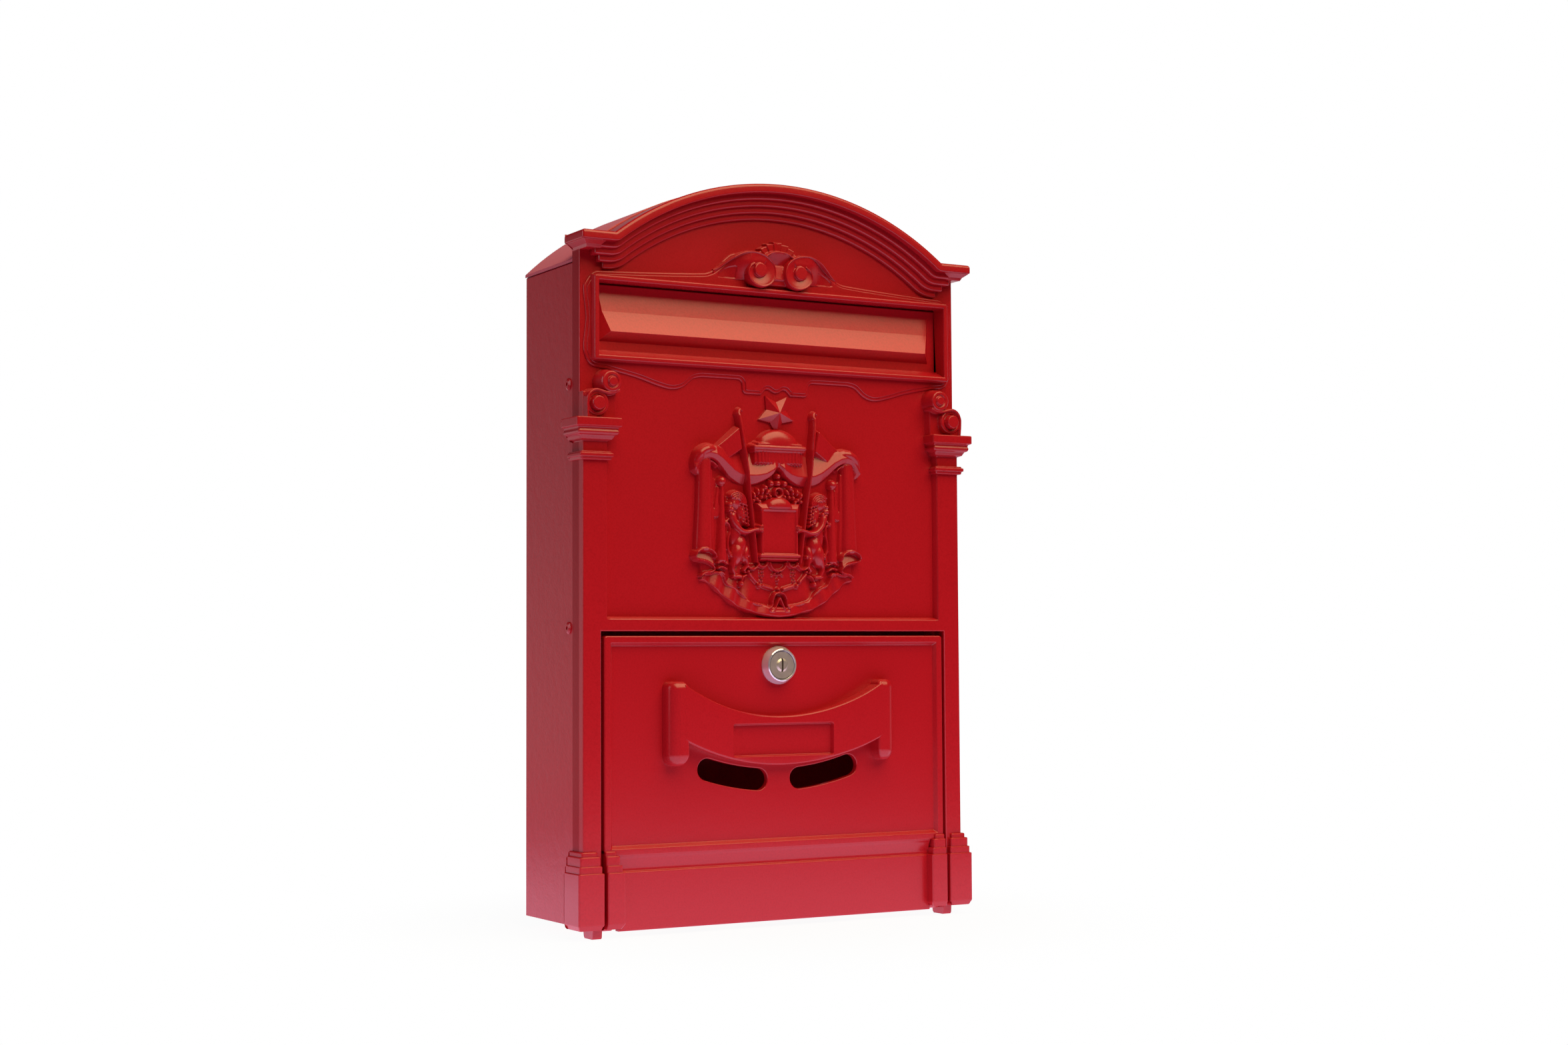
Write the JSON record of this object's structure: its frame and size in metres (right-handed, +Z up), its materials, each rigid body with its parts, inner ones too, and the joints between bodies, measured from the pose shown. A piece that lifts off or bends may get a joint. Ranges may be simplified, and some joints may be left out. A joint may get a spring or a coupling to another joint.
{
  "type": "letter box",
  "caption": "Wall letter box with an arched cast front, hanging slot flap, bottom-hinged lockable door and folded sheet body.",
  "frame": {"origin": "middle of the box's base, at the height of the hinge lugs' feet", "axes": "+X to the right seen from the front, +Y from the front to the wall, +Z up"},
  "size_m": [0.2526, 0.085, 0.4109],
  "materials": {
    "cast_red": "satin powder coat on cast aluminium",
    "sheet_red": "satin powder coat on sheet steel",
    "steel": "zinc plated",
    "chrome": "polished",
    "plug_nickel": "satin nickel",
    "brass": "stamped"
  },
  "bodies": {
    "box": {"front_casting": "cast_red", "flap_rod": "steel", "rod_clips": "steel", "body_wrap": "sheet_red", "roof_sheet": "sheet_red", "bottom_sheet": "sheet_red", "side_rivets": "cast_red", "hinge_pins": "steel"},
    "door": {"door_casting": "cast_red", "lock_bezel": "chrome", "lock_housing": "chrome", "lock_washer": "steel", "lock_nut": "steel"},
    "flap": {"slot_flap": "cast_red"},
    "lock": {"lock_plug": "plug_nickel", "lock_wafers": "brass", "cam_washer": "steel", "lock_cam": "steel", "cam_screw": "steel"}
  },
  "joints": [
    {"name": "door_hinge", "type": "hinge", "parent": "box", "child": "door", "pos_m": [0, -0.0254, 0.0065], "axis": [1, 0, 0], "range_deg": [0, 90]},
    {"name": "flap_hinge", "type": "hinge", "parent": "box", "child": "flap", "pos_m": [0, -0.0164, 0.3514], "axis": [1, 0, 0], "range_deg": [0, 75]},
    {"name": "lock_turn", "type": "hinge", "parent": "door", "child": "lock", "pos_m": [0, -0.0309, 0.1434], "axis": [0, -1, 0], "range_deg": [0, 90]}
  ]
}
